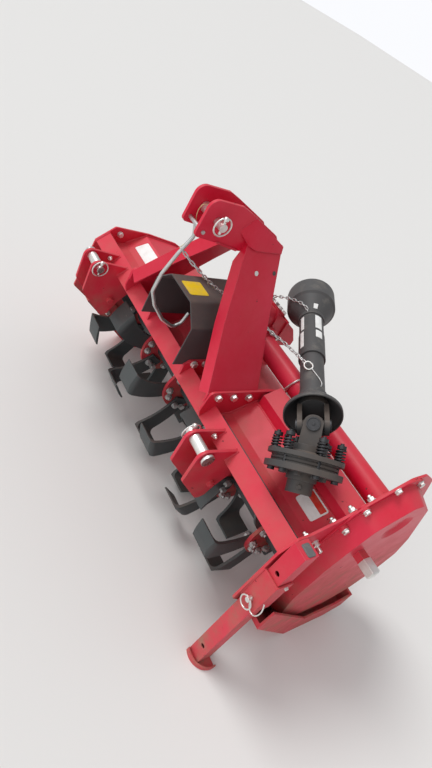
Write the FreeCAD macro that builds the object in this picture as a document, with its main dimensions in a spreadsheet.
import FreeCAD, Part
import math
import os
import Sketcher
from FreeCAD import Matrix, Placement, Vector

# Three-point rotary tiller with a side chain drive.
# X runs along the machine towards the chain case, Y towards the rear, Z up.
# The origin is midway between the two lower hitch pins.

# Driving sizes in millimetres: alias, value, meaning
SIZES = (
    ("pin_half_span", 341.5, "hitch centre line to the middle of a lower pin"),
    ("pin_dia", 22, "lower hitch pin"),
    ("clevis_gap", 52, "between the two plates of a lower clevis"),
    ("clevis_plate", 8, "thickness of a clevis plate"),
    ("mast_height", 380, "top link pin above the lower pins"),
    ("top_pin_dia", 19, "top link pin"),
    ("top_pin_y", 20, "top link pin behind the lower pins"),
    ("top_gap", 52, "between the top link plates"),
    ("top_plate", 8, "thickness of a top link plate"),
    ("bar_side", 50, "front bar, square tube set on its edge"),
    ("bar_wall", 5, "wall of the front bar"),
    ("bar_y", 99, "centre of the front bar"),
    ("bar_z", -22, "centre of the front bar"),
    ("far_x", 485, "inner face of the far end plate from the centre"),
    ("near_x", 616, "inner face of the drive side plate from the centre"),
    ("end_plate", 6, "thickness of the end plates"),
    ("sheet_t", 4, "deck sheet"),
    ("tray_x", 250, "inner end of the tray under the drive tube"),
    ("rotor_y", 296, "rotor axis"),
    ("swing_radius", 212, "tine tips round the rotor axis"),
    ("rotor_room", 20, "top of the tines' circle below the lower pins"),
    ("tip_clearance", 28, "tine tips above the floor on the skids"),
    ("rotor_tube_dia", 70, "rotor tube"),
    ("rotor_tube_wall", 8, "wall of the rotor tube"),
    ("stub_dia", 40, "rotor stub shafts in their bearings"),
    ("flange_dia", 188, "rotor flange"),
    ("flange_t", 10, "thickness of a rotor flange"),
    ("first_flange", -400, "middle of the first rotor flange"),
    ("flange_pitch", 178, "from one rotor flange to the next"),
    ("tine_t", 8, "thickness of a tine"),
    ("tine_reach", 74, "sideways reach of a tine blade"),
    ("drive_y", 338, "drive tube axis"),
    ("drive_z", 70, "drive tube axis"),
    ("drive_dia", 60, "drive tube"),
    ("drive_wall", 5, "wall of the drive tube"),
    ("drive_end", 75, "gearbox end of the drive tube"),
    ("case_depth", 50, "chain case cover out from the side plate"),
    ("case_wall", 4, "sheet of the chain case cover"),
    ("pto_z", 112, "input shaft above the lower pins"),
    ("pto_y", 150, "front end of the input shaft"),
    ("pto_dia", 34.9, "input shaft over its splines"),
    ("pto_journal", 38, "input shaft in the gearbox"),
    ("shield_y", 40, "front edge of the input shield"),
    ("shield_half", 102, "half width of the input shield"),
    ("shield_top", 178, "top of the input shield"),
    ("shield_t", 3, "sheet of the input shield"),
    ("leg_sheet", 6, "folded sheet of the mast legs"),
    ("leg_foot_x", 230, "inner face of a mast leg foot from the centre"),
    ("stand_x", 647, "parking stand axis"),
    ("stand_y", 76, "parking stand axis"),
    ("stand_side", 40, "square tube of the parking stand"),
    ("stand_wall", 4, "wall of the parking stand tube"),
    ("stand_fit", 1, "clearance of the stand tube in its sleeve, each side"),
    ("skid_t", 6, "sheet of the skids"),
    ("skid_height", 76, "upright flanges of the skids"),
    ("skid_width", 74, "inner face of the end plate to the skid's outer face"),
    ("guard_dia", 59, "inner guard tube of the driveline"),
    ("bell_dia", 134, "mouth of the guard cones"),
    ("clutch_dia", 172, "plates of the slip clutch"),
    ("rod_dia", 9, "bent steel rods"),
)

doc = FreeCAD.newDocument("rotary_tiller")
sheet = doc.addObject("Spreadsheet::Sheet", "sizes")
for row, (alias, value, meaning) in enumerate(SIZES, start=1):
    sheet.set(f"A{row}", alias)
    sheet.set(f"B{row}", str(value))
    sheet.setAlias(f"B{row}", alias)
    sheet.set(f"C{row}", meaning)
doc.recompute()


def size(alias):
    return float(sheet.get(alias))


# The pieces that are written out, in the order in which they are made
pieces = []


def keep(feature, label):
    """Name a finished piece and list it for export."""
    feature.Label = label
    pieces.append(feature)
    return feature


def shape_piece(label, shape):
    """A piece whose shape is worked out from the sheet in this file."""
    feature = doc.addObject("Part::Feature", label)
    feature.Shape = shape
    return keep(feature, label)


# Outlines

def rounded(corners):
    """Edges of a closed outline; a corner is (u, v) or (u, v, radius)."""
    edges = []
    starts = []
    count = len(corners)
    for index, corner in enumerate(corners):
        here = Vector(corner[0], corner[1])
        before = Vector(*corners[index - 1][:2])
        after = Vector(*corners[(index + 1) % count][:2])
        radius = corner[2] if len(corner) > 2 else 0
        if not radius:
            starts.append((here, here, None))
            continue
        back = (before - here).normalize()
        ahead = (after - here).normalize()
        half = back.getAngle(ahead) / 2
        reach = radius / math.tan(half)
        first = here + back * reach
        last = here + ahead * reach
        centre = here + (back + ahead).normalize() * (radius / math.sin(half))
        middle = centre + (here - centre).normalize() * radius
        starts.append((first, last, middle))
    for index, (first, last, middle) in enumerate(starts):
        if middle is not None:
            edges.append(Part.Arc(first, middle, last))
        following = starts[(index + 1) % count][0]
        if last.distanceToPoint(following) > 1e-6:
            edges.append(Part.LineSegment(last, following))
    return edges


def grown(corners, distance):
    """The outline moved outwards; corners run anticlockwise."""
    moved = []
    count = len(corners)
    for index, corner in enumerate(corners):
        here = Vector(*corner[:2])
        before = Vector(*corners[index - 1][:2])
        after = Vector(*corners[(index + 1) % count][:2])
        into = (here - before).normalize()
        away = (after - here).normalize()
        out = (Vector(into.y, -into.x) + Vector(away.y, -away.x)).normalize()
        stretch = distance / out.dot(Vector(into.y, -into.x))
        place = here + out * stretch
        radius = corner[2] + distance if len(corner) > 2 else 0
        moved.append((place.x, place.y, max(radius, 0)))
    return moved


def ribbon(corners, thickness):
    """A strip of sheet along an open side view path; the sheet lies right of it."""
    outer = [Vector(*corner) for corner in corners]
    inner = []
    for index, here in enumerate(outer):
        sides = []
        if index > 0:
            sides.append((here - outer[index - 1]).normalize())
        if index < len(outer) - 1:
            sides.append((outer[index + 1] - here).normalize())
        rights = [Vector(side.y, -side.x) for side in sides]
        out = sum(rights[1:], rights[0]).normalize()
        inner.append(here + out * (thickness / out.dot(rights[0])))
    return [(point.x, point.y) for point in outer + inner[::-1]]


# Sketches and bodies

def origin_plane(body, role):
    return next(item for item in body.Origin.OriginFeatures if item.Role == role)


def sketch_on(body, name, role, offset):
    """A sketch on an origin plane of its body, moved along the normal."""
    sketch = body.newObject("Sketcher::SketchObject", name)
    sketch.AttachmentSupport = [(origin_plane(body, role), "")]
    sketch.MapMode = "FlatFace"
    sketch.setExpression("AttachmentOffset.Base.z", offset)
    return sketch


def outline(sketch, corners):
    sketch.addGeometry(rounded(corners), False)


def hole(sketch, across, up, diameter):
    """A circle whose place and diameter follow the sheet."""
    index = sketch.addGeometry(Part.Circle(Vector(0, 0, 0), Vector(0, 0, 1), 5), False)
    for kind, expression in (("DistanceX", across), ("DistanceY", up)):
        number = sketch.addConstraint(Sketcher.Constraint(kind, -1, 1, index, 3, 1.0))
        sketch.setExpression(f"Constraints[{number}]", expression)
    number = sketch.addConstraint(Sketcher.Constraint("Diameter", index, 10.0))
    sketch.setExpression(f"Constraints[{number}]", diameter)


def pad(body, sketch, length):
    feature = body.newObject("PartDesign::Pad", sketch.Name + "_pad")
    feature.Profile = sketch
    feature.setExpression("Length", length)
    return feature


def body_named(name):
    return doc.addObject("PartDesign::Body", name + "_body")


# Shapes

X, Y, Z = Vector(1, 0, 0), Vector(0, 1, 0), Vector(0, 0, 1)


def standing(origin, across, up):
    """Placement that lays the flat outline axes along two directions."""
    normal = across.cross(up)
    return Placement(Matrix(across.x, up.x, normal.x, origin.x,
                            across.y, up.y, normal.y, origin.y,
                            across.z, up.z, normal.z, origin.z,
                            0, 0, 0, 1))


def wire_of(corners, origin, across, up):
    wire = Part.Wire([edge.toShape() for edge in rounded(corners)])
    wire.Placement = standing(origin, across, up)
    return wire


def plate(corners, origin, across, up, thickness):
    """An outline in any plane made solid along across x up."""
    face = Part.Face(wire_of(corners, origin, across, up))
    return face.extrude(across.cross(up) * thickness)


def prism(corners, x_low, x_high):
    """An outline in the side view (y, z) made solid from x_low to x_high."""
    return plate(corners, X * x_low, Y, Z, x_high - x_low)


def prism_y(corners, y_low, y_high):
    """An outline in the front view (x, z) made solid from y_low to y_high."""
    return plate(corners, Y * y_high, X, Z, y_high - y_low)


def box(low, high):
    return Part.makeBox(*(high - low), low)


def rod(start, end, diameter):
    """A straight round bar between two points."""
    along = end - start
    return Part.makeCylinder(diameter / 2, along.Length, start, along)


def turned(profile, start, direction):
    """A closed (distance along, radius) outline turned round an axis."""
    side = direction.cross(Z if abs(direction.z) < 0.9 else X).normalize()
    wire = wire_of(profile, start, direction, side)
    return Part.Face(wire).revolve(start, direction, 360)


def bent_rod(points, radius, diameter):
    """A round rod along straight runs joined by arcs of one bend radius."""
    edges = []
    last = points[0]
    for before, here, after in zip(points, points[1:], points[2:]):
        back = (before - here).normalize()
        ahead = (after - here).normalize()
        half = back.getAngle(ahead) / 2
        reach = radius / math.tan(half)
        first = here + back * reach
        end = here + ahead * reach
        centre = here + (back + ahead).normalize() * (radius / math.sin(half))
        middle = centre + (here - centre).normalize() * radius
        if last.distanceToPoint(first) > 1e-6:
            edges.append(Part.LineSegment(last, first).toShape())
        edges.append(Part.Arc(first, middle, end).toShape())
        last = end
    edges.append(Part.LineSegment(last, points[-1]).toShape())
    path = Part.Wire(edges)
    start = edges[0].tangentAt(edges[0].FirstParameter)
    ring = Part.Wire(Part.makeCircle(diameter / 2, points[0], start))
    return path.makePipeShell([ring], True, False)


def joined(shapes):
    whole = shapes[0].multiFuse(shapes[1:])
    return whole.removeSplitter()


def mirrored_x(shape):
    return shape.mirror(Vector(0, 0, 0), X)


# Levels and places that several pieces share
far_in = -size("far_x")
far_out = far_in - size("end_plate")
near_in = size("near_x")
near_out = near_in + size("end_plate")
bar_y = size("bar_y")
bar_z = size("bar_z")
bar_corner = size("bar_side") / math.sqrt(2)
rotor_y = size("rotor_y")
swing = size("swing_radius")
rotor_z = -swing - size("rotor_room")
floor = rotor_z - swing - size("tip_clearance")
swing_rear = rotor_y + swing
drive_y = size("drive_y")
drive_z = size("drive_z")
case_face = near_out + size("case_depth")


def on_rotor(x, radius=0, degrees=0):
    """A point round the rotor axis, measured from the rear."""
    turn = math.radians(degrees)
    return Vector(x, rotor_y + radius * math.cos(turn), rotor_z + radius * math.sin(turn))


# Front bar, a square tube on its edge between the end plates
def diamond(corner):
    return [(bar_y, bar_z - corner), (bar_y + corner, bar_z),
            (bar_y, bar_z + corner), (bar_y - corner, bar_z)]


bar = body_named("front_bar")
bar_sketch = sketch_on(bar, "bar_section", "YZ_Plane", "-sizes.far_x")
bar_wall_corner = size("bar_wall") * math.sqrt(2)
outline(bar_sketch, diamond(bar_corner))
outline(bar_sketch, diamond(bar_corner - bar_wall_corner))
pad(bar, bar_sketch, "sizes.far_x + sizes.near_x")
keep(bar, "front_bar")
bar_solid = prism(diamond(bar_corner), far_in, near_in)

# Deck: a level strip behind the bar, a face rising to the crest, a top that
# falls to the rear and a round hood behind the rotor
sheet_t = size("sheet_t")
crest_y, crest_z = 228, 21
strip_y, strip_z = 162, -16
strip_start = (bar_y + bar_corner - 6, bar_z + 1)
hood_radius = swing + 26
crest_reach = math.hypot(crest_y - rotor_y, crest_z - rotor_z)
crest_angle = math.atan2(crest_z - rotor_z, crest_y - rotor_y)
hood_start = math.degrees(crest_angle - math.acos(hood_radius / crest_reach))
hood_end = 19.9
hood_top = on_rotor(0, hood_radius, hood_start)
fall = (hood_top.z - crest_z) / (hood_top.y - crest_y)


def deck_top(y):
    """Height of the deck's falling top."""
    return crest_z + (y - crest_y) * fall


flat_part = prism(ribbon([strip_start, (strip_y, strip_z), (crest_y, crest_z),
                          (hood_top.y, hood_top.z)], sheet_t), far_in, near_in)


def shell_round_rotor(radius, thickness, from_degrees, to_degrees, x_low, x_high):
    """Sheet bent round the rotor axis, its outer face at the given radius."""
    edges = []
    for reach in (radius, radius - thickness):
        arc = [on_rotor(x_low, reach, angle) for angle in
               (from_degrees, (from_degrees + to_degrees) / 2, to_degrees)]
        edges.append(Part.Arc(*arc).toShape())
    for angle in (from_degrees, to_degrees):
        edges.append(Part.LineSegment(on_rotor(x_low, radius, angle),
                                      on_rotor(x_low, radius - thickness, angle)).toShape())
    face = Part.Face(Part.Wire(Part.__sortEdges__(edges)))
    return face.extrude(X * (x_high - x_low))


hood = shell_round_rotor(hood_radius, sheet_t, hood_start, hood_end, far_in, near_in)
deck = joined([flat_part, hood]).cut(bar_solid)
shape_piece("deck", deck)

# Tray in front of the drive tube, from the mast foot to the drive side plate
tray_path = [(crest_y + 2, crest_z - 1), (crest_y + 2, crest_z + 29),
             (crest_y + 48, crest_z + 54), (crest_y + 50, deck_top(crest_y + 50))]
tray = prism(ribbon(tray_path, sheet_t), size("tray_x"), near_in).cut(deck)
shape_piece("tube_tray", tray)

# End plates, each with a hole round the rotor stub
plate_low = floor + 52
shared_front = [(43, rotor_z + 33, 8), (184, rotor_z - 79), (322, plate_low, 20)]
far_outline = [(62, -19, 4)] + shared_front + [
    (450, plate_low, 40), (swing_rear + 32, rotor_z - 118, 50), (swing_rear + 64, rotor_z - 18, 60),
    (swing_rear + 48, rotor_z + 92, 60), (swing_rear - 38, rotor_z + 186, 60),
    (350, 8, 40), (237, 27, 30), (115, 34, 6)]
near_outline = [(52, -12, 4)] + shared_front + [
    (500, plate_low, 60), (swing_rear + 97, rotor_z - 108, 70), (swing_rear + 132, rotor_z + 2, 70),
    (swing_rear + 114, rotor_z + 112, 60), (swing_rear + 52, 0, 60),
    (452, 146, 60), (393, 176, 30), (340, 172, 30), (193, 67, 30), (119, 34, 20), (82, 30, 10)]


def end_plate(name, corners, offset):
    body = body_named(name)
    plate_sketch = sketch_on(body, name + "_outline", "YZ_Plane", offset)
    outline(plate_sketch, corners)
    hole(plate_sketch, "sizes.rotor_y", "-sizes.swing_radius - sizes.rotor_room", "sizes.stub_dia + 20")
    pad(body, plate_sketch, "sizes.end_plate")
    return keep(body, name)


end_plate("end_plate_far", far_outline, "-sizes.far_x - sizes.end_plate")
end_plate("end_plate_near", near_outline, "sizes.near_x")

# Chain case cover: a pressed pan with sloping sides and a flat bolting rim
pan_low = plate_low + 25
pan_face = [(205, -60, 40), (200, rotor_z + 32, 60), (235, rotor_z - 78, 60), (330, pan_low, 40),
            (470, pan_low, 60), (swing_rear + 37, rotor_z - 118, 60), (swing_rear + 77, rotor_z - 28, 60),
            (swing_rear + 82, rotor_z + 62, 50), (swing_rear + 37, rotor_z + 157, 60),
            (420, 105, 40), (360, 140, 24), (325, 138, 24), (243, 80, 30), (222, 10, 30)]
pan_slope = 18
rim_width = 16
boss_y, boss_z = drive_y + 6, drive_z - 10
boss_depth = 8
case_wall = size("case_wall")


def lofted(lower, upper):
    return Part.makeLoft([lower, upper], True, True)


pan = lofted(wire_of(grown(pan_face, pan_slope), X * near_out, Y, Z),
             wire_of(pan_face, X * case_face, Y, Z))
hollow = lofted(wire_of(grown(pan_face, pan_slope - case_wall), X * near_out, Y, Z),
                wire_of(grown(pan_face, -case_wall), X * (case_face - case_wall), Y, Z))
rim = prism(grown(pan_face, pan_slope + rim_width), near_out, near_out + case_wall)
dish_base = Vector(case_face - boss_depth, boss_y, boss_z)
dish = Part.makeCone(30, 44, boss_depth, dish_base, X)
backing = Part.makeCylinder(48, boss_depth + 1, dish_base - X * case_wall, X)
plug_y, plug_z = 281, -22
plug_boss = box(Vector(case_face - case_wall, plug_y - 11, plug_z - 11),
                Vector(case_face + 20, plug_y + 11, plug_z + 11))
cover = joined([pan.cut(hollow), rim.cut(pan), backing, plug_boss]).cut(dish)
shape_piece("chain_case_cover", cover)

# Square plug in the boss on the chain case
plug_body = box(Vector(case_face + 20, plug_y - 12, plug_z - 12),
                Vector(case_face + 58, plug_y + 12, plug_z + 12))
plug_edges = [edge for edge in plug_body.Edges if edge.CenterOfMass.x > case_face + 57]
shape_piece("case_plug", plug_body.makeChamfer(3, plug_edges))

# Drive tube from the gearbox to the side plate
tube = body_named("drive_tube")
tube_sketch = sketch_on(tube, "tube_section", "YZ_Plane", "sizes.drive_end")
hole(tube_sketch, "sizes.drive_y", "sizes.drive_z", "sizes.drive_dia")
hole(tube_sketch, "sizes.drive_y", "sizes.drive_z", "sizes.drive_dia - 2 * sizes.drive_wall")
pad(tube, tube_sketch, "sizes.near_x - sizes.drive_end")
keep(tube, "drive_tube")

# Gearbox on its mount above the deck
pto_z = size("pto_z")
journal = size("pto_journal")
box_front = 268
box_rear = 476
mount_top = 40
mount_front = 258
mount_rear = 420
mount_x = (-72, 68)
under_hood = rod(on_rotor(mount_x[0]), on_rotor(mount_x[1]), 2 * hood_radius)
mount_on_deck = prism([(mount_front, deck_top(mount_front)), (hood_top.y, hood_top.z),
                       (hood_top.y, mount_top), (mount_front, mount_top)], *mount_x)
mount_on_hood = prism([(hood_top.y, hood_top.z - 80), (mount_rear, hood_top.z - 80),
                       (mount_rear, mount_top), (hood_top.y, mount_top)], *mount_x).cut(under_hood)
shape_piece("gearbox_mount", joined([mount_on_deck, mount_on_hood]))
front_view = [(-62, mount_top, 8), (58, mount_top, 8), (58, 178, 48), (-62, 178, 48)]
slope_low, slope_high = Vector(0, 443, 107), Vector(0, 316, 178)
side_view = [(box_front, mount_top), (box_rear, mount_top), (box_rear, 64, 10),
             (slope_low.y, slope_low.z, 16), (slope_high.y, slope_high.z, 20),
             (290, 178, 20), (box_front, 150, 20)]
housing = prism_y(front_view, box_front, box_rear).common(prism(side_view, -62, 58))
rib_view = [(-67, mount_top + 6, 6), (63, mount_top + 6, 6), (63, 183, 52), (-67, 183, 52)]
rib_side = prism(grown(side_view, 5), -67, 63)
ribs = [prism_y(rib_view, y, y + 6).common(rib_side)
        for y in (box_front + 22, box_front + 75, box_front + 128)]
front_cap = rod(Vector(0, box_front - 20, pto_z), Vector(0, box_front, pto_z), 96)
slope_out = X.cross(slope_low - slope_high).normalize()
slope_middle = (slope_low + slope_high) * 0.5
rear_cover = rod(slope_middle - slope_out * 10, slope_middle + slope_out * 8, 84)
drive_side = rod(Vector(58, drive_y, drive_z), Vector(size("drive_end"), drive_y, drive_z), 92)
far_cover = rod(Vector(-62, drive_y, drive_z), Vector(-75, drive_y, drive_z), 92)
breather = rod(Vector(0, 303, 170), Vector(0, 303, 196), 20)
shaft_hole = rod(Vector(0, box_front - 20, pto_z), Vector(0, 330, pto_z), journal + 0.1)
gearbox = joined([housing, front_cap, rear_cover, drive_side, far_cover, breather] + ribs)
flat_below = box(Vector(-90, box_front - 28, mount_top - 60), Vector(90, box_rear + 10, mount_top))
shape_piece("gearbox", gearbox.cut(flat_below).cut(shaft_hole))

# Splined input shaft
pto_y = size("pto_y")
pto_radius = size("pto_dia") / 2
spline_end = 232
spline_count = 6
root = rod(Vector(0, pto_y, pto_z), Vector(0, spline_end, pto_z), size("pto_dia") - 5.9)
spline = box(Vector(-4.3, pto_y, pto_z), Vector(4.3, spline_end, pto_z + pto_radius))
splines = []
for index in range(spline_count):
    one = spline.copy()
    one.rotate(Vector(0, pto_y, pto_z), Y, index * 360 / spline_count)
    splines.append(one)
rim_cylinder = rod(Vector(0, pto_y, pto_z), Vector(0, spline_end, pto_z), size("pto_dia"))
journal_part = rod(Vector(0, spline_end, pto_z), Vector(0, 326, pto_z), journal)
toothed = joined([root] + splines).common(rim_cylinder)
groove = rod(Vector(0, pto_y + 22, pto_z), Vector(0, pto_y + 30, pto_z), 50).cut(
    rod(Vector(0, pto_y + 22, pto_z), Vector(0, pto_y + 30, pto_z), size("pto_dia") - 5.9))
shape_piece("input_shaft", joined([toothed, journal_part]).cut(groove))

# Input shield, an arch of sheet open at the front, and its two brackets
shield_half = size("shield_half")
shield_top = size("shield_top")
shield_rear = box_front - 22
shield_foot = 17
arch = [(-shield_half, shield_foot), (shield_half, shield_foot), (shield_half, 133, 8),
        (54, shield_top, 12), (-54, shield_top, 12), (-shield_half, 133, 8)]
shield_t = size("shield_t")
arch_inside = [(-shield_half + shield_t, shield_foot - 1), (shield_half - shield_t, shield_foot - 1),
               (shield_half - shield_t, 131.5, 5), (53, shield_top - shield_t, 9),
               (-53, shield_top - shield_t, 9), (-shield_half + shield_t, 131.5, 5)]
shield = prism_y(arch, size("shield_y"), shield_rear + 2)
shield = shield.cut(prism_y(arch_inside, size("shield_y") - 1, shield_rear - shield_t))
shield = shield.cut(rod(Vector(0, 240, pto_z), Vector(0, 260, pto_z), 97))
under_deck = [(strip_y, strip_z), (strip_y, strip_z - 20), (300, strip_z - 20),
              (300, deck_top(300)), (crest_y, crest_z)]
shield = shield.cut(prism(under_deck, -120, 120))
shield_side = [(72, -16), (130, -20.6), (strip_y, strip_z), (215, 13.7),
               (215, 34), (84, 34, 6), (70, 20)]
bracket = prism(shield_side, shield_half, shield_half + 6).cut(bar_solid)
shape_piece("pto_shield", shield)
shape_piece("shield_brackets", Part.makeCompound([bracket, mirrored_x(bracket)]))

# Mast legs: a foot bolted to the bracket, then folded sheet leaning inwards
leg_t = size("leg_sheet")
foot_x = size("leg_foot_x")
foot_top = 48
top_inner = size("top_gap") / 2
plate_outer = top_inner + size("top_plate")
mast_height = size("mast_height")
lean_rise = mast_height - 42 - foot_top
lean_run = foot_x - plate_outer - 4
slope_length = math.hypot(lean_rise, lean_run)
up_slope = Vector(-lean_run / slope_length, 0, lean_rise / slope_length)
web = plate([(57, 0), (217, 0), (223, slope_length * 0.48), (237, slope_length * 1.04),
             (128, slope_length * 1.04), (83, slope_length * 0.48)],
            Vector(foot_x, 0, foot_top), Y, up_slope, leg_t)
flange_depth = 30
web_normal = Y.cross(up_slope)
flange_parts = []
for low, high in (((57, 0), (83, 0.48)), ((83, 0.48), (128, 1.04))):
    start = Vector(foot_x, low[0], foot_top) + up_slope * (slope_length * low[1])
    end = Vector(foot_x, high[0], foot_top) + up_slope * (slope_length * high[1])
    along = (end - start).normalize()
    inward = web_normal * -1
    flange_parts.append(plate([(0, -leg_t), (start.distanceToPoint(end), -leg_t),
                               (start.distanceToPoint(end), flange_depth), (0, flange_depth)],
                              start, along, inward, -leg_t))
leg_foot = prism([(57, 22, 4), (286, 22, 4), (286, foot_top, 10), (217, foot_top + 4), (57, foot_top + 4)],
                 foot_x, foot_x + leg_t)
leg = joined([web, leg_foot] + flange_parts)
leg = leg.cut(box(Vector(-100, 0, 0), Vector(plate_outer, 400, mast_height + 120)))
leg = leg.cut(bar_solid)
shape_piece("mast_leg_near", leg)
shape_piece("mast_leg_far", mirrored_x(leg))

# Foot brackets welded to the bar and the deck
foot_outline = [(64, -20), (130, -20.6), (strip_y, strip_z), (crest_y, crest_z),
                (288, deck_top(288)), (288, 52, 6), (60, 60, 14), (56, 0)]
foot_bracket = prism(foot_outline, foot_x + leg_t, foot_x + 2 * leg_t).cut(bar_solid)
shape_piece("mast_foot_near", foot_bracket)
shape_piece("mast_foot_far", mirrored_x(foot_bracket))

# Top link plates that also tie the legs together, and their pin
top_pin_y = size("top_pin_y")
link_shape = [(-22, -43, 10), (40, -50, 20), (110, -62, 20), (165, -62, 0), (240, -46, 10),
              (204, -8, 10), (105, 32, 8), (71, 44, 12), (-16, 47, 24)]
link_outline = [(y, mast_height + rise, radius) for y, rise, radius in link_shape]
link_plate = prism(link_outline, top_inner, plate_outer)
link_hole = rod(Vector(-60, top_pin_y, mast_height), Vector(60, top_pin_y, mast_height),
                size("top_pin_dia") + 0.6)
rod_dia = size("rod_dia")
hook_y, hook_z = -5, mast_height - 30
hook_bar = rod(Vector(-plate_outer - 4, hook_y, hook_z), Vector(plate_outer + 4, hook_y, hook_z), rod_dia)
link_plate = link_plate.cut(link_hole).cut(hook_bar)
shape_piece("top_link_plates", Part.makeCompound([link_plate, mirrored_x(link_plate)]))


def headed_pin(name, diameter, head, head_start, inner_end, centre):
    """A plain pin along X with a round head at its outer end."""
    shank = doc.addObject("Part::Cylinder", name + "_shank")
    shank.setExpression("Radius", f"{diameter} / 2")
    shank.Height = abs(head_start - inner_end)
    cap = doc.addObject("Part::Cylinder", name + "_head")
    cap.Radius = head / 2
    cap.Height = 6
    side = 1 if head_start > inner_end else -1
    for cylinder, start in ((shank, inner_end), (cap, head_start)):
        cylinder.Placement = standing(Vector(start, centre[0], centre[1]), Y * side, Z)
    whole = doc.addObject("Part::MultiFuse", name + "_fused")
    whole.Shapes = [shank, cap]
    return keep(whole, name)


headed_pin("top_pin", "sizes.top_pin_dia", 30, -52, 62, (top_pin_y, mast_height))

# Lower clevises on the bar, one plate each side of each pin
clevis_inner = size("clevis_gap") / 2
clevis_plate = size("clevis_plate")
span = size("pin_half_span")
clevis_outline = [(-24, 22, 22), (-24, -84, 14), (60, -176, 18), (134, -134, 12),
                  (134, -36), (bar_y, bar_z), (92, 6)]
clevis_bolt = rod(Vector(span - 44, 72, -112), Vector(span + 44, 72, -112), 12)
bolt_head = rod(Vector(span + 34, 72, -112), Vector(span + 42, 72, -112), 20)
bolt_nut = rod(Vector(span - 34, 72, -112), Vector(span - 44, 72, -112), 20)
pin_hole = rod(Vector(span - 40, 0, 0), Vector(span + 40, 0, 0), size("pin_dia") + 0.6)
tine_room = rod(on_rotor(0), on_rotor(near_in), 2 * (swing + 13))
cheeks = []
for low, high in ((span - clevis_inner - clevis_plate, span - clevis_inner),
                  (span + clevis_inner, span + clevis_inner + clevis_plate)):
    cheeks.append(prism(clevis_outline, low, high).cut(bar_solid).cut(pin_hole).cut(tine_room))
clevis = joined(cheeks + [clevis_bolt, bolt_head, bolt_nut])
shape_piece("lower_clevis_near", clevis)
shape_piece("lower_clevis_far", mirrored_x(clevis))
headed_pin("lower_pin_near", "sizes.pin_dia", 34, span + 38, span - 48, (0, 0))
headed_pin("lower_pin_far", "sizes.pin_dia", 34, -span - 38, -span + 48, (0, 0))


# Lynch pins: a short pin through each hitch pin's end with a spring ring
def lynch_pin(x, y, z, radius):
    peg = rod(Vector(x, y, z - radius - 7), Vector(x, y, z + radius + 9), 7)
    knob = Part.makeSphere(6.5, Vector(x, y, z + radius + 9))
    ring = Part.makeTorus(radius + 12, 2, Vector(x, y + 0.5, z), X)
    return joined([peg, knob, ring])


pin_ends = ((56, top_pin_y, mast_height, size("top_pin_dia") / 2),
            (span - 42, 0, 0, size("pin_dia") / 2),
            (-span + 42, 0, 0, size("pin_dia") / 2))
lynch_pins = []
for x, y, z, radius in pin_ends:
    through = rod(Vector(x - 8, y, z), Vector(x + 8, y, z), 2 * radius)
    lynch_pins.append(lynch_pin(x, y, z, radius).cut(through))
shape_piece("lynch_pins", Part.makeCompound(lynch_pins))

# Parking stand: a sleeve on the side plate, a sliding leg, its foot and its pin
stand_x = size("stand_x")
stand_y = size("stand_y")
stand_half = size("stand_side") / 2
stand_wall = size("stand_wall")
sleeve_half = stand_half + size("stand_fit")
sleeve_low, sleeve_high = -174, -65
pin_z = -152


def square_tube(half, wall, low, high):
    outer = box(Vector(stand_x - half, stand_y - half, low), Vector(stand_x + half, stand_y + half, high))
    inner = half - wall
    return outer.cut(box(Vector(stand_x - inner, stand_y - inner, low),
                         Vector(stand_x + inner, stand_y + inner, high)))


def across_stand(z, diameter, y_low, y_high):
    return rod(Vector(stand_x, y_low, z), Vector(stand_x, y_high, z), diameter)


sleeve = square_tube(sleeve_half + stand_wall, stand_wall, sleeve_low, sleeve_high)
sleeve_outer = sleeve_half + stand_wall
sleeve_pin = across_stand(pin_z, 13, stand_y - 40, stand_y)
shape_piece("stand_sleeve", sleeve.cut(sleeve_pin))
foot_t = 5
leg_top = 43
hole_z = (-47, pin_z, floor + 62)
leg_tube = square_tube(stand_half, stand_wall, floor + foot_t, leg_top - 3)
for z in hole_z:
    leg_tube = leg_tube.cut(across_stand(z, 13, stand_y - 40, stand_y + 40))
leg_cap = box(Vector(stand_x - stand_half, stand_y - stand_half, leg_top - 3),
              Vector(stand_x + stand_half, stand_y + stand_half, leg_top))
shape_piece("stand_leg", joined([leg_tube, leg_cap]))
foot_radius = 46
foot_height = 14
foot_base = Vector(stand_x, stand_y + 14, floor)
foot_disc = Part.makeCylinder(foot_radius, foot_height, foot_base, Z)
foot_inside = Part.makeCylinder(foot_radius - 4, foot_height, foot_base + Z * foot_t, Z)
foot_room = box(Vector(near_out + 5, stand_y - 60, floor),
                Vector(stand_x + 60, stand_y + 22, floor + foot_height))
shape_piece("stand_foot", foot_disc.cut(foot_inside).common(foot_room))
pin_front = stand_y - sleeve_outer - 12
pin_shank = across_stand(pin_z, 12.8, pin_front, stand_y - stand_half - 0.4)
pin_eye = Part.makeTorus(16, 2, Vector(stand_x, pin_front + 4, pin_z - 12), Y)
shape_piece("stand_pin", joined([pin_shank, pin_eye]))

# Skids under the end plates: a channel of sheet with upturned ends
skid_t = size("skid_t")
skid_width = size("skid_width")
skid_height = size("skid_height")
skid_path = [(110, floor + 213), (350, floor), (520, floor), (575, floor + 32)]


def skid_sheet(height):
    """Side view of the channel up to a height above its lower face."""
    toe, front_bend, rear_bend, heel = skid_path
    return skid_path + [(heel[0] - 12, heel[1] + height), (rear_bend[0] - 8, floor + height),
                        (front_bend[0] + 30, floor + height), (toe[0] + 4, toe[1] + height)]


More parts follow.
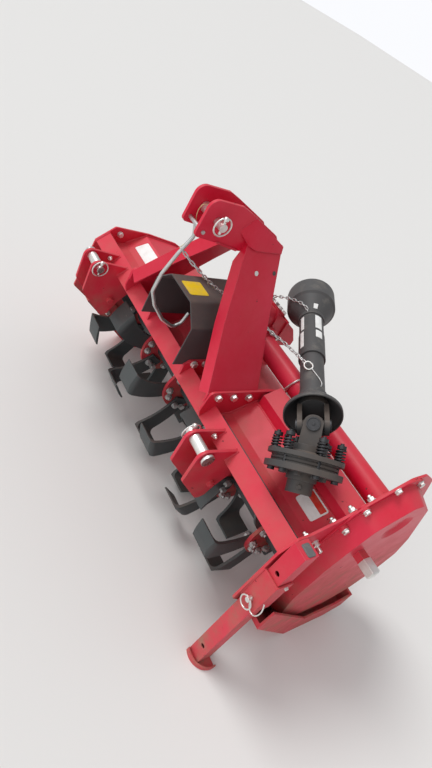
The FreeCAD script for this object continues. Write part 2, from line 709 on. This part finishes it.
skid_start = near_in - skid_t
skid_end = near_in + skid_width
whole_skid = prism(skid_sheet(skid_height), skid_start, skid_end)
inside_path = ribbon(skid_path, -skid_t)[:3:-1]
skid_inside = inside_path + [(540, floor + 200), (90, floor + 320)]
skid = whole_skid.cut(prism(skid_inside, skid_start + skid_t, skid_end - skid_t))
far_skid = mirrored_x(skid)
case_room = prism(grown(pan_face, pan_slope + rim_width + 1), near_out, near_out + case_wall + 1)
skid_near = skid.cut(prism(near_outline, near_in, near_out)).cut(case_room)
shape_piece("skid_near", skid_near)
far_skid.translate(X * (near_in + far_in))
shape_piece("skid_far", far_skid.cut(prism(far_outline, far_out, far_in)))

# Rotor: a tube with stub shafts, flanges and bent tines
stub = size("stub_dia")
tube_low = far_in + 20
tube_high = near_in - 20
rotor_tube = rod(on_rotor(tube_low), on_rotor(tube_high), size("rotor_tube_dia"))
rotor_bore = rod(on_rotor(tube_low + 12), on_rotor(tube_high - 12),
                 size("rotor_tube_dia") - 2 * size("rotor_tube_wall"))
stubs = rod(on_rotor(far_out - 22), on_rotor(tube_low), stub)
stubs_near = rod(on_rotor(tube_high), on_rotor(near_out + 30), stub)
shape_piece("rotor_tube", joined([rotor_tube.cut(rotor_bore), stubs, stubs_near]))

flange_t = size("flange_t")
flange_count = 6
flange_x = [size("first_flange") + index * size("flange_pitch") for index in range(flange_count)]
flanges = []
for x in flange_x:
    disc = rod(on_rotor(x - flange_t / 2), on_rotor(x + flange_t / 2), size("flange_dia"))
    flanges.append(disc.cut(rod(on_rotor(x - 20), on_rotor(x + 20), size("rotor_tube_dia"))))
shape_piece("rotor_flanges", Part.makeCompound(flanges))


def tine_blank():
    """One tine on the +X face of a flange at x = 0, its root along +Z."""
    thick = size("tine_t")
    reach = size("tine_reach")
    scythe = Part.Wire([
        Part.LineSegment(Vector(-26, 46), Vector(26, 46)).toShape(),
        Part.Arc(Vector(26, 46), Vector(48, swing - 92), Vector(104, swing - 26)).toShape(),
        Part.LineSegment(Vector(104, swing - 26), Vector(34, swing + 2)).toShape(),
        Part.Arc(Vector(34, swing + 2), Vector(-12, swing - 82), Vector(-26, 46)).toShape()])
    scythe.Placement = standing(Vector(-1, 0, 0), Y, Z)
    blade_side = Part.Face(scythe).extrude(X * (reach + 2))
    blade_side = blade_side.common(Part.makeCylinder(swing, reach + 4, Vector(-2, 0, 0), X))
    bend = 20
    fold = Part.Wire([edge.toShape() for edge in rounded([
        (0, 30), (thick, 30), (thick, swing - thick, bend - thick / 2),
        (reach, swing - thick), (reach, swing + 2), (0, swing + 2, bend)])])
    tilt = math.radians(-18)
    fold_up = Vector(0, -math.sin(tilt), math.cos(tilt))
    fold_side = X.cross(fold_up)
    fold.Placement = standing(fold_side * -90, X, fold_up)
    return blade_side.common(Part.Face(fold).extrude(fold_side * 180))


tine = tine_blank()
tines_left = tine.mirror(Vector(0, 0, 0), X)
tines = []
for index, x in enumerate(flange_x):
    inward_only = {0: (1,), flange_count - 1: (-1,)}.get(index, (1, -1))
    for turn in range(6):
        side = inward_only[turn % len(inward_only)]
        one = tine.copy() if side > 0 else tines_left.copy()
        one.translate(X * side * flange_t / 2)
        one.rotate(Vector(0, 0, 0), X, 60 * turn + 23 * index)
        one.translate(on_rotor(x))
        tines.append(one)
shape_piece("tines", Part.makeCompound(tines))

# Rotor bearings, outside the far plate and inside the chain case
far_bearing = turned([(0, stub / 2 + 0.05), (0, 62), (8, 62), (12, 44, 4), (30, 40, 6), (30, 0),
                      (26, 0), (26, stub / 2 + 0.05)], on_rotor(far_out), X * -1)
near_bearing = turned([(0, stub / 2 + 0.05), (0, 55), (18, 50), (18, stub / 2 + 0.05)],
                      on_rotor(near_out), X)
shape_piece("rotor_bearings", Part.makeCompound([far_bearing, near_bearing]))

# Tailgate: sheet bent round the rotor, hung from a rod behind the deck
gate_hinge = on_rotor(0, hood_radius + 9, 17)
gate_y, gate_z = gate_hinge.y, gate_hinge.z
gate_radius = hood_radius + 18
gate_low = far_in + 8
gate_high = near_in - 14
gate_sheet = shell_round_rotor(gate_radius, sheet_t, 14, -38, gate_low, gate_high)
knuckle_x = [-380, -60, 220, 500]


def on_hinge(x):
    return Vector(x, gate_y, gate_z)


hinge_rod = rod(on_hinge(gate_low + 20), on_hinge(gate_high - 20), 12)
gate_knuckles = [rod(on_hinge(x), on_hinge(x + 50), 22) for x in knuckle_x]
upper_edge = on_rotor(0, gate_radius, 14)
gate_strip = prism([(gate_y + 2.5, gate_z - 10), (gate_y + 11, gate_z - 4.5),
                    (upper_edge.y, upper_edge.z + 4), (upper_edge.y, upper_edge.z - 10),
                    (upper_edge.y - 5, upper_edge.z - 10)], gate_low, gate_high)
gate_bore = rod(on_hinge(gate_low), on_hinge(gate_high), 12.6)
tailgate = joined([gate_sheet, gate_strip] + gate_knuckles).cut(gate_bore)
shape_piece("tailgate", tailgate)
hood_lip = on_rotor(0, hood_radius, hood_end)
hood_above = on_rotor(0, hood_radius, hood_end + 4)
deck_knuckles = []
for x in knuckle_x:
    lug = prism([(hood_above.y, hood_above.z), (hood_lip.y, hood_lip.z), (gate_y - 8, gate_z - 1),
                 (gate_y, gate_z), (gate_y + 1, gate_z + 8)], x + 56, x + 96)
    eye = rod(on_hinge(x + 56), on_hinge(x + 96), 16)
    deck_knuckles.append(joined([eye, lug]).cut(hinge_rod).cut(deck))
shape_piece("hinge_rod", hinge_rod)
shape_piece("hinge_eyes", Part.makeCompound(deck_knuckles))

# Driveline lying across the machine: guards, shafts, joints and slip clutch
joint_centre = Vector(near_in - 183.8, crest_y - 44.6, crest_z + 130.7)
main_way = Vector(-0.805, 0.589, 0.072).normalize()
clutch_way = Vector(0.659, -0.329, -0.677).normalize()
yoke_way = Vector(-0.66, 0.484, -0.574).normalize()
ear_side = Vector(0.29, -0.72, 0.63)
far_joint = 534


def on_main(distance):
    return joint_centre + main_way * distance


def on_clutch(distance):
    return joint_centre + clutch_way * distance


guard = size("guard_dia") / 2
bell = size("bell_dia") / 2
shaft_radius = 17
guard_wall = 3
slack = 0.3
guard_bore = shaft_radius + slack
near_guard = [(30, bell - guard_wall), (30, bell), (38, bell), (78, guard + 8), (78, guard + 5),
              (92, guard + 5), (92, guard), (330, guard), (330, guard - guard_wall),
              (96, guard - guard_wall), (92, guard_bore), (80, guard_bore),
              (76, guard + 4), (37, bell - guard_wall)]
shape_piece("guard_near", turned(near_guard, joint_centre, main_way))
far_guard = [(229, guard + slack), (229, guard + 4.5), (323, guard + 4.5), (323, guard + 3),
             (395, guard + 3), (395, guard + 6), (407, guard + 6), (452, bell - 6), (458, bell),
             (518, bell), (518, bell - guard_wall), (460, bell - guard_wall), (454, bell - 9),
             (410, guard + 2), (408, guard_bore), (398, guard_bore), (396, guard + slack)]
shape_piece("guard_far", turned(far_guard, joint_centre, main_way))

ear_gap = 24
ear_t = 11
arm_reach = ear_gap + ear_t + 3
arm_dia = 26


def fork(centre, way, side, base_radius, hub_radius, hub_end):
    """A joint yoke: two ears across the side direction and a hub along the way."""
    other = side.cross(way).normalize()
    ear = [(-20, -20, 19), (50, -23.5, 4), (50, 23.5, 4), (-20, 20, 19)]
    ears = [plate(ear, centre + side * start, way, other, ear_t)
            for start in (ear_gap, -ear_gap - ear_t)]
    base = rod(centre + way * 46, centre + way * 62, 2 * base_radius)
    hub = rod(centre + way * 60, centre + way * hub_end, 2 * hub_radius)
    return ears + [base, hub]


def cross_arm(centre, side, diameter):
    return rod(centre - side * arm_reach, centre + side * arm_reach, diameter)


side_main = main_way.cross(ear_side).normalize()
side_clutch = clutch_way.cross(side_main).normalize()
far_centre = on_main(far_joint)
side_yoke = yoke_way.cross(main_way).normalize()
side_far = main_way.cross(side_yoke).normalize()
near_fork = fork(joint_centre, main_way, side_main, 36, 23, 74)
far_fork = fork(far_centre, main_way * -1, side_far, 36, 23, 74)
end_yoke = fork(far_centre, yoke_way, side_yoke, 36, 27, 112)
arms = [cross_arm(joint_centre, side_main, arm_dia), cross_arm(joint_centre, side_clutch, arm_dia),
        cross_arm(far_centre, side_far, arm_dia), cross_arm(far_centre, side_yoke, arm_dia)]
shaft = rod(on_main(60), on_main(far_joint - 60), 2 * shaft_radius)
yoke_bore = rod(far_centre + yoke_way * 62, far_centre + yoke_way * 120, size("pto_dia") + slack)
shape_piece("driveline_shaft", joined(near_fork + far_fork + end_yoke + arms + [shaft]).cut(yoke_bore))

# Slip clutch: the yoke's seat plate, the friction discs, the hub plate and its hub
clutch_radius = size("clutch_dia") / 2
seat_start = 66
hub_face = 106
seat_radius = clutch_radius - 2
disc_radius = clutch_radius - 12
hub_bore = size("pto_dia") / 2 + slack / 2
discs = turned([(60, 0), (60, 46), (seat_start, 50), (seat_start, seat_radius), (76, seat_radius),
                (76, disc_radius), (79, disc_radius), (79, disc_radius - 4), (82, disc_radius - 4),
                (82, disc_radius), (87, disc_radius), (87, disc_radius - 4), (90, disc_radius - 4),
                (90, disc_radius), (93, disc_radius), (93, clutch_radius), (hub_face, clutch_radius),
                (hub_face, 34), (122, 34), (122, 29), (150, 29), (150, hub_bore), (98, hub_bore),
                (98, 0)], joint_centre, clutch_way)
clutch_yoke = joined(fork(joint_centre, clutch_way, side_clutch, 44, 40, seat_start))
clutch_yoke = clutch_yoke.cut(cross_arm(joint_centre, side_clutch, arm_dia + 2 * slack))

# Six coil springs on the seat plate, each round its own bolt
spring_count = 6
spring_turn = 6
spring_circle = clutch_radius - 16
coil_radius = 10
coil_wire = 4
coil_turns = 4
coil_length = 25
spring_end = seat_start - coil_length - coil_wire - 2 * slack
bolt_dia = 9
helix = Part.makeHelix(coil_length / coil_turns, coil_length, coil_radius)
start_ring = Part.Wire(Part.makeCircle(coil_wire / 2, Vector(coil_radius, 0, 0), Y))
coil = Part.Wire(helix.Edges).makePipeShell([start_ring], True, True)
across_clutch = side_clutch.cross(clutch_way).normalize()
springs = []
bolts = []
bolt_holes = []
for index in range(spring_count):
    turn = math.radians(index * 360 / spring_count + spring_turn)
    radial = across_clutch * math.cos(turn) + side_clutch * math.sin(turn)
    one = coil.copy()
    base = on_clutch(seat_start - slack - coil_wire / 2) + radial * spring_circle
    one.Placement = standing(base, radial, radial.cross(clutch_way))
    springs.append(one)
    low = on_clutch(24) + radial * spring_circle
    high = on_clutch(hub_face + 7) + radial * spring_circle
    nut_start = on_clutch(spring_end - 8) + radial * spring_circle
    bolts.append(joined([rod(low, high, bolt_dia), rod(nut_start, nut_start + clutch_way * 8, 20),
                         rod(high - clutch_way * 7, high, 16)]))
    bolt_holes.append(rod(low, high, bolt_dia + 2 * slack))
shape_piece("slip_clutch", joined([clutch_yoke, discs]).cut(Part.makeCompound(bolt_holes)))
shape_piece("clutch_springs", Part.makeCompound(springs))
shape_piece("clutch_bolts", Part.makeCompound(bolts))

# Bent rod hung between the top link plates, which holds up the driveline in use
hook_shares = [(7, 0.837), (-12, 0.713), (-30, 0.558), (-33, 0.421), (-10, 0.313),
               (31, 0.2), (73, 0.137), (94, 0.174), (102, 0.266)]
hook_path = [Vector(0, hook_y, hook_z)] + [
    Vector(0, y, mast_height * share) for y, share in hook_shares]
hook_bend = 16
shape_piece("hook_rod", joined([bent_rod(hook_path, hook_bend, rod_dia), hook_bar]))


# Checks of every object, then one file for each piece
doc.recompute()
for item in doc.Objects:
    if {"Invalid", "Error"} & set(item.State):
        raise SystemExit(f"{item.Label}: {item.State}")
os.makedirs("parts", exist_ok=True)
for feature in pieces:
    shape = feature.Shape
    if shape.isNull() or not shape.isValid():
        raise SystemExit(f"{feature.Label}: bad shape")
    shape.exportStep(f"parts/{feature.Label}.step")
    limits = shape.BoundBox
    print(feature.Label, len(shape.Solids), round(shape.Volume), [round(v) for v in (
        limits.XMin, limits.XMax, limits.YMin, limits.YMax, limits.ZMin, limits.ZMax)])
